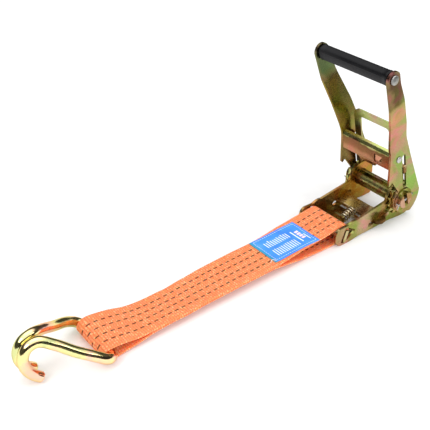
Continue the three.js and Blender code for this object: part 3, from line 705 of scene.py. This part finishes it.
def label_piece():
    rows, columns = 48, 34
    verts, faces, uvs = [], [], []
    for lift in (0.05, 0.05 + LABEL_THICK):
        for i in range(rows + 1):
            for j in range(columns + 1):
                v = LABEL[2] * (2 * j / columns - 1)
                verts.append(on_label(LABEL_LENGTH * i / rows, v, lift))
    layer, wide = (rows + 1) * (columns + 1), columns + 1

    def uv_of(index):
        index %= layer
        return (60.7 * (index // wide) / rows, LABEL[2] * (2 * (index % wide) / columns - 1))

    def add(*quad):
        faces.append(quad)
        uvs.append(tuple(uv_of(q) for q in quad))

    for i in range(rows):
        for j in range(columns):
            a = i * wide + j
            add(a, a + wide, a + wide + 1, a + 1)
            add(layer + a, layer + a + 1, layer + a + wide + 1, layer + a + wide)
    for i in range(rows):
        a, b = i * wide, i * wide + columns
        add(a, layer + a, layer + a + wide, a + wide)
        add(b, b + wide, layer + b + wide, layer + b)
    for j in range(columns):
        a, b = j, rows * wide + j
        add(a, a + 1, layer + a + 1, layer + a)
        add(b, layer + b, layer + b + 1, b + 1)
    mesh = mesh_from("label_cloth", verts, faces, uvs)
    face_outwards(mesh)
    smooth_by_angle(mesh, 50)
    return new_piece("label_cloth", mesh, label_material(), "strap", "label", slot="label")


def patches(name, boxes, material):
    """Flat printed marks on the label, each (u0, u1, v0, v1), that follow its surface."""
    lift, cell = LABEL_THICK + 0.13, 3.0
    verts, faces = [], []
    for u0, u1, v0, v1 in boxes:
        nu, nv = max(1, math.ceil((u1 - u0) / cell)), max(1, math.ceil((v1 - v0) / cell))
        first = len(verts)
        for i in range(nu + 1):
            for j in range(nv + 1):
                verts.append(on_label(u0 + (u1 - u0) * i / nu, v0 + (v1 - v0) * j / nv, lift))
        for i in range(nu):
            for j in range(nv):
                a = first + i * (nv + 1) + j
                faces.append((a, a + 1, a + nv + 2, a + nv + 1))
    return new_piece(name, mesh_from(name, verts, faces), material, "strap")


def stitches(name, runs, material, where, length=2.1, gap=0.8, r=0.22):
    """Rows of thread that go in and out: each stitch is a short bowed capsule."""
    verts, faces, sides, steps = [], [], 6, 4
    for (u0, v0), (u1, v1) in runs:
        total = math.dist((u0, v0), (u1, v1))
        count = max(1, int(total / (length + gap)))
        for s in range(count):
            start = (s + 0.5) * total / count - length / 2
            points = []
            for k in range(steps + 1):
                t = (start + length * k / steps) / total
                bow = math.sin(math.pi * k / steps)
                points.append((where(u0 + (u1 - u0) * t, v0 + (v1 - v0) * t, 0.12 * bow + 0.02),
                               r * (0.45 + 0.55 * bow)))
            first = len(verts)
            along = (points[-1][0] - points[0][0]).normalized()
            up = Vector((0, 0, 1))
            side = along.cross(up).normalized()
            for point, radius in points:
                for k in range(sides):
                    a = 2 * math.pi * k / sides
                    verts.append(point + (side * math.cos(a) + up * math.sin(a)) * radius / 1000)
            faces += band_faces(steps + 1, sides, first)
            faces.append(tuple(first + k for k in reversed(range(sides))))
            faces.append(tuple(first + steps * sides + k for k in range(sides)))
    mesh = mesh_from(name, verts, faces)
    shade_smooth(mesh)
    return new_piece(name, mesh, material, "strap")


label = label_piece()
ink = print_material("label ink", ((0.62, 0.78, 0.95), (0.90, 0.95, 1.0)))
accent = print_material("label accent", ((0.90, 0.45, 0.62), (0.98, 0.86, 0.92)))

# Plain placeholder lines across the label, in two columns, and a plain two-tone block.
LINE_FIRST, LINE_PITCH, LINE_WIDE = 20.5, 2.9, 1.0
LEFT_COLUMN, RIGHT_COLUMN = -15.5, 1.5
bars = []
for row in range(11):
    u = LINE_FIRST + row * LINE_PITCH
    left = 4.0 + 3.0 * abs(noise(Vector((row * 1.7, 0.3, 0.0))))
    right = 9.0 + 4.0 * abs(noise(Vector((row * 2.3, 5.1, 0.0))))
    bars.append((u, u + LINE_WIDE, LEFT_COLUMN, LEFT_COLUMN + 9.5 + left * 0.5))
    bars.append((u, u + LINE_WIDE, RIGHT_COLUMN, RIGHT_COLUMN + right))
bars += [(14.0, 15.4, -13.0, 9.0), (4.8, 5.8, -14.0, -2.0)]
print_lines = patches("label_print_lines", bars, ink)
blocks = [(7.0, 11.6, -8.5 + 4.1 * k, -5.6 + 4.1 * k) for k in range(4)]
print_blocks = patches("label_print_blocks", blocks, accent)

# The sewn border, and the end of its thread.
inset = 2.6
far_u, wide_v = LABEL_LENGTH - inset - 0.8, LABEL[2] - inset
corners = [(inset, -wide_v), (far_u, -wide_v), (far_u, wide_v), (inset, wide_v)]
label_seam = stitches(
    "label_seam", list(zip(corners, corners[1:] + corners[:1])),
    thread_material("white thread", (0.62, 0.70, 0.78), (0.95, 0.96, 0.97)),
    lambda u, v, lift: on_label(u, v, 0.5 + lift))
tail_points = [on_label(LABEL_LENGTH - 2.2 + 0.9 * k, -20.4 + 0.5 * k + 1.1 * math.sin(k * 0.8),
                        0.9 + 0.18 * k) for k in range(4)]
last = tail_points[-1]
tail_points += [last + Vector((-0.0009 * k, 0.0009 * math.sin(0.9 * k), -0.00012 * k * k))
                for k in range(1, 6)]
tail = tube("label_thread_tail", tail_points, 0.00028, 8)
shade_smooth(tail)
tail_thread = thread_material("loose thread", (0.75, 0.62, 0.55), (0.96, 0.92, 0.88))
thread_tail = new_piece("label_thread_tail", tail, tail_thread, "strap")


# Seams that join the two layers, in thread of the strap's own colour.
def on_strap(x, y, lift):
    return lay(x, y, SEAM_Z + WEB_THICK + lift)


def zigzag(x0, x1, y, half, pitch):
    runs, x, side = [], x0, 1
    while x - pitch > x1:
        runs.append(((x, y + half * side), (x - pitch, y - half * side)))
        x, side = x - pitch, -side
    return runs


seam_runs = []
for y in (-19.5, -10.0, 0.0, 9.4, 18.9):
    for x0, x1 in ((-190, -232), (-292, -334)):
        seam_runs += zigzag(x0, x1, y, half=1.1, pitch=2.9)
orange_thread = thread_material("orange thread", (0.90, 0.22, 0.05), (1.0, 0.45, 0.20))
strap_seams = stitches("strap_seams", seam_runs, orange_thread, on_strap, length=2.4, gap=0.5,
                       r=0.24)

# ---------------------------------------------------------------- claw hook
# One half of the wire, from the middle of the back bar to the claw's end, taken from HOOK_BAR.
HOOK_LEG = [(0, 0, 0), (0, 12, 0), (0, 20, 0), (0, 24.6, 0), (-2.2, 29.6, 1), (-7.5, 31.6, 4.4),
            (-17, 28.6, 11), (-31, 21.4, 19.4), (-46, 12.6, 30.2), (-58.5, 6.4, 36.4),
            (-68.3, 5.1, 34), (-73.8, 5.1, 25.2), (-73.7, 5.5, 14), (-68.6, 6.4, 3.4),
            (-61.2, 7.4, -4.2)]


def blend(a, b, start, end, s):
    """The point on the line from a, at start, to b, at end."""
    return a * ((end - s) / (end - start)) + b * ((s - start) / (end - start))


def spline(points, per):
    """A centripetal Catmull-Rom curve through points."""
    points = [Vector(p) for p in points]
    padded = [points[0] * 2 - points[1], *points, points[-1] * 2 - points[-2]]
    out = []
    for i in range(1, len(padded) - 2):
        p = padded[i - 1:i + 3]
        t = [0.0]
        for a, b in zip(p, p[1:]):
            t.append(t[-1] + math.sqrt((b - a).length))
        for k in range(per):
            s = t[1] + (t[2] - t[1]) * k / per
            level = p
            for reach in (1, 2):
                level = [blend(level[j], level[j + 1], t[j], t[j + reach], s)
                         for j in range(len(level) - 1)]
            out.append(blend(level[0], level[1], t[1], t[2], s))
    return out + [points[-1]]


def hook_piece():
    leg = [place(HOOK_BAR[0] + x, y, HOOK_BAR[1] + z) for x, y, z in HOOK_LEG]
    other = [Vector((p.x, -p.y, p.z)) for p in reversed(leg[1:])]
    points = spline(other + leg, 12)
    end = (points[-1] - points[-2]).normalized()
    start = (points[0] - points[1]).normalized()
    r = HOOK_WIRE_R / 1000
    # cropped ends with a small rounded edge
    points = [points[0], points[0] - start * 0.0004, points[0] - start * 0.001, *points[2:-2],
              points[-1] - end * 0.001, points[-1] - end * 0.0004, points[-1]]
    radii = [r * 0.84, r * 0.96, r] + [r] * (len(points) - 6) + [r, r * 0.96, r * 0.84]
    mesh = tube("claw_hook_wire", points, radii, 28)
    smooth_by_angle(mesh, 45)
    new_piece("claw_hook_wire", mesh, hook_zinc, "hook", "claw_hook", slot="hook_zinc")


hook_piece()

# ---------------------------------------------------------------- ratchet metalwork
for side in ("near", "far"):
    refined(f"frame_side_{side}", near_frame if side == "near" else frame_far_zinc, "frame",
            "frame_zinc", bevel=0.55, segments=3)
    refined(f"spool_washer_{side}", frame_zinc, "spool", "frame_zinc", bevel=0.25)
    refined(f"ratchet_wheel_{side}", wheel_zinc, "spool", "wheel_zinc", bevel=0.4)
    refined(f"handle_plate_{side}", near_arm_painted_reflection if side == "near" else far_arm_painted_reflection, "handle",
            "handle_zinc", bevel=0.55, segments=3)
refined("frame_cross_plate", inner_zinc, "frame", "frame_zinc", bevel=0.4)
refined("anchor_bar", inner_zinc, "frame", "frame_zinc", bevel=0.3)
refined("handle_bridge", bridge_zinc_painted_shadow_highlight, "handle", "handle_zinc", bevel=0.4)
refined("lock_pawl", pawl_zinc, "lock_pawl", "pawl_zinc", bevel=0.5)
refined("drive_pawl", pawl_zinc, "drive_pawl", "pawl_zinc", bevel=0.5)
refined("release_trigger", trigger_zinc, "drive_pawl", "trigger_zinc", bevel=0.6, segments=3)
for half in ("upper", "lower"):
    refined(f"spool_bar_{half}", spool_zinc, "spool", "spool_zinc", bevel=0.4)
for node in ("split_pin_near", "split_pin_far", "bridge_rivet_near", "bridge_rivet_far",
             "grip_rod"):
    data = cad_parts[node].data
    data.materials.clear()
    data.materials.append(bright_steel)


def coil(name, node, body, start, end, mean, wire, turns, along, origin):
    """A round-wire compression spring in place of the plain one, from start to end along a line
    through origin. mean is the coils' radius and wire the wire's."""
    side = Vector((0, 1, 0))
    other = along.cross(side)
    points = []
    steps = turns * 22
    for k in range(steps + 1):
        t = k / steps
        a = 2 * math.pi * turns * t
        eased = smooth(0.0, 1.0, t) * 0.25 + t * 0.75
        points.append(origin + along * (start + (end - start) * eased) / 1000
                      + (side * math.cos(a) + other * math.sin(a)) * mean / 1000)
    mesh = tube(name, points, wire / 1000, 10)
    shade_smooth(mesh)
    piece = new_piece(name, mesh, spring_steel, body, node, slot="spring_steel")
    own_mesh(piece)


def on_handle(p, q):
    """A point of the handle's mid plane: q along the handle from the spool and p to its side."""
    return place(p * LEAN_COS - q * LEAN_SIN, 0, SPOOL_Z + p * LEAN_SIN + q * LEAN_COS)


LOCK_SLOPE = math.radians(15)
LOCK_MIDDLE, LOCK_RISE = (-45.0, 9.2), 2.4     # the lock pawl, and its tongue above its middle
coil("lock_spring_wire", "lock_spring", "frame", start=-13.8, end=5.3, mean=4.9, wire=0.95,
     turns=6, along=Vector((math.cos(LOCK_SLOPE), 0, math.sin(LOCK_SLOPE))),
     origin=place(LOCK_MIDDLE[0] - LOCK_RISE * math.sin(LOCK_SLOPE), 0,
                  LOCK_MIDDLE[1] + LOCK_RISE * math.cos(LOCK_SLOPE)))
DRIVE_TILT = math.radians(7.7) - HANDLE_LEAN
coil("drive_spring_wire", "drive_spring", "handle", start=21.3, end=29.4, mean=3.8, wire=0.7,
     turns=4, along=Vector((math.sin(DRIVE_TILT), 0, math.cos(DRIVE_TILT))),
     origin=on_handle(5.8, 15))


def grip_piece():
    """The moulded sleeve: a rounded section with four ridges and a bead at each end."""
    low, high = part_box("grip_sleeve")
    origin = on_handle(0.5, 181)
    axes = Vector((LEAN_COS, 0, LEAN_SIN)), Vector((-LEAN_SIN, 0, LEAN_COS))
    length = (high.y - low.y) / 2 * 1000
    bead, waist, between = 3.7, 0.965, 20
    rings = [(-length, 0.90), (-length + 0.5, 0.975), (-length + 1.6, 1.0), (-length + 3.2, 1.0),
             (-length + bead, waist)]
    rings += [(-length + bead + (2 * length - 2 * bead) * k / between, waist)
              for k in range(1, between)]
    rings += [(-y, r) for y, r in reversed(rings[:5])]
    half_p, half_q, power = 6.8, 8.0, 2 / 2.9
    ridges = [math.radians(m) for m in (28, 152, 208, 332)]
    sides, verts = 64, []
    for y, r in rings:
        for k in range(sides):
            a = 2 * math.pi * k / sides
            ca, sa = math.cos(a), math.sin(a)
            p = math.copysign(abs(ca) ** power, ca) * half_p
            q = math.copysign(abs(sa) ** power, sa) * half_q
            ridge = sum(math.exp(-((a - m) / 0.05) ** 2) for m in ridges)
            grow = min(1.0, r + 0.028 * ridge * (1 if abs(y) < length - 4 else 0))
            point = origin + axes[0] * (p * grow / 1000) + axes[1] * (q * grow / 1000)
            verts.append(Vector((point.x, y / 1000, point.z)))
    faces = band_faces(len(rings), sides)
    faces.append(tuple(range(sides)))
    faces.append(tuple((len(rings) - 1) * sides + k for k in reversed(range(sides))))
    mesh = mesh_from("grip_moulding", verts, faces)
    face_outwards(mesh)
    smooth_by_angle(mesh, 40)
    new_piece("grip_moulding", mesh, grip_material(), "handle", "grip_sleeve",
              slot="grip_plastic")


grip_piece()


# ---------------------------------------------------------------- floor, light and camera
def quad(name, corners, material):
    mesh = bpy.data.meshes.new(name)
    mesh.from_pydata(corners, [], [(0, 1, 2, 3)])
    mesh.materials.append(material)
    sheet = bpy.data.objects.new(name, mesh)
    bpy.context.scene.collection.objects.link(sheet)
    return sheet


floor = quad("floor", [(-6, -6, 0), (6, -6, 0), (6, 6, 0), (-6, 6, 0)], floor_material())

world = bpy.data.worlds.new("studio")
bpy.context.scene.world = world
world.use_nodes = True
tree = world.node_tree
sky = tree.nodes["Background"]
where = tree.nodes.new("ShaderNodeTexCoord")
split = tree.nodes.new("ShaderNodeSeparateXYZ")
shade = tree.nodes.new("ShaderNodeValToRGB")
tree.links.new(where.outputs["Generated"], split.inputs[0])
tree.links.new(split.outputs["Z"], shade.inputs[0])
# Reflections see a graded studio, dark low down. Everything else sees one even grey.
seen = tree.nodes.new("ShaderNodeMix")
seen.data_type = "RGBA"
tree.links.new(tree.nodes.new("ShaderNodeLightPath").outputs["Is Glossy Ray"], seen.inputs[0])
seen.inputs[6].default_value = (0.64, 0.64, 0.64, 1)
tree.links.new(shade.outputs[0], seen.inputs[7])
tree.links.new(seen.outputs[2], sky.inputs["Color"])
fill_ramp(shade.color_ramp, [(0.0, 0.08), (0.10, 0.04), (0.34, 0.03), (0.56, 0.08), (0.68, 0.55),
                             (0.84, 0.95), (1.0, 1.0)])
sky.inputs["Strength"].default_value = 1.6


def softbox(name, stand, aim, size, power):
    light = bpy.data.lights.new(name, "AREA")
    light.shape, light.size, light.size_y, light.energy = "RECTANGLE", size[0], size[1], power
    box = bpy.data.objects.new(name, light)
    box.location = stand
    box.rotation_mode = "QUATERNION"
    box.rotation_quaternion = (Vector(aim) - Vector(stand)).to_track_quat("-Z", "Y")
    bpy.context.scene.collection.objects.link(box)


softbox("key", (-1.3, -0.2, 1.3), (0, 0, 0.05), (0.8, 0.8), power=9)
softbox("fill", (0.9, -1.3, 1.2), (0, 0, 0.05), (1.0, 0.6), power=6)
softbox("top", (0.1, 0.3, 1.9), (0, 0, 0), (1.6, 1.6), power=6)
softbox("low", (-0.2, -1.1, 0.26), (0.1, 0, 0.02), (0.9, 0.3), power=5)

# A black card beside the camera, as a studio uses to give polished metal its dark streaks.
# Only reflections see it.
felt = Nodes("black felt")
felt_black = felt.ramp(felt.noise(felt.at, 300.0), (0.3, 0.008), (0.7, 0.014))
card = quad("black_card", [(-0.75, -0.42, 0.03), (0.8, -0.42, 0.03), (0.8, -0.50, 0.5),
                           (-0.75, -0.50, 0.5)],
            felt.done(Base_Color=felt_black, Roughness=0.95, Specular_IOR_Level=0.1))
for ray in ("camera", "diffuse", "shadow", "transmission", "volume_scatter"):
    setattr(card, f"visible_{ray}", False)

camera_data = bpy.data.cameras.new("camera")
camera = bpy.data.objects.new("camera", camera_data)
bpy.context.scene.collection.objects.link(camera)
bpy.context.scene.camera = camera
azimuth, elevation = math.radians(-38.1), math.radians(33.8)
back = Vector((math.sin(azimuth) * math.cos(elevation), -math.cos(azimuth) * math.cos(elevation),
               math.sin(elevation)))
camera.rotation_mode = "QUATERNION"
camera.rotation_quaternion = (-back).to_track_quat("-Z", "Y")
camera.location = place(-613.5, -466.2, 487.6)
camera_data.sensor_width = 36.0
camera_data.lens = 61.07
camera_data.clip_start, camera_data.clip_end = 0.02, 50.0

bpy.context.scene.view_settings.view_transform = "Standard"
bpy.context.view_layer.update()
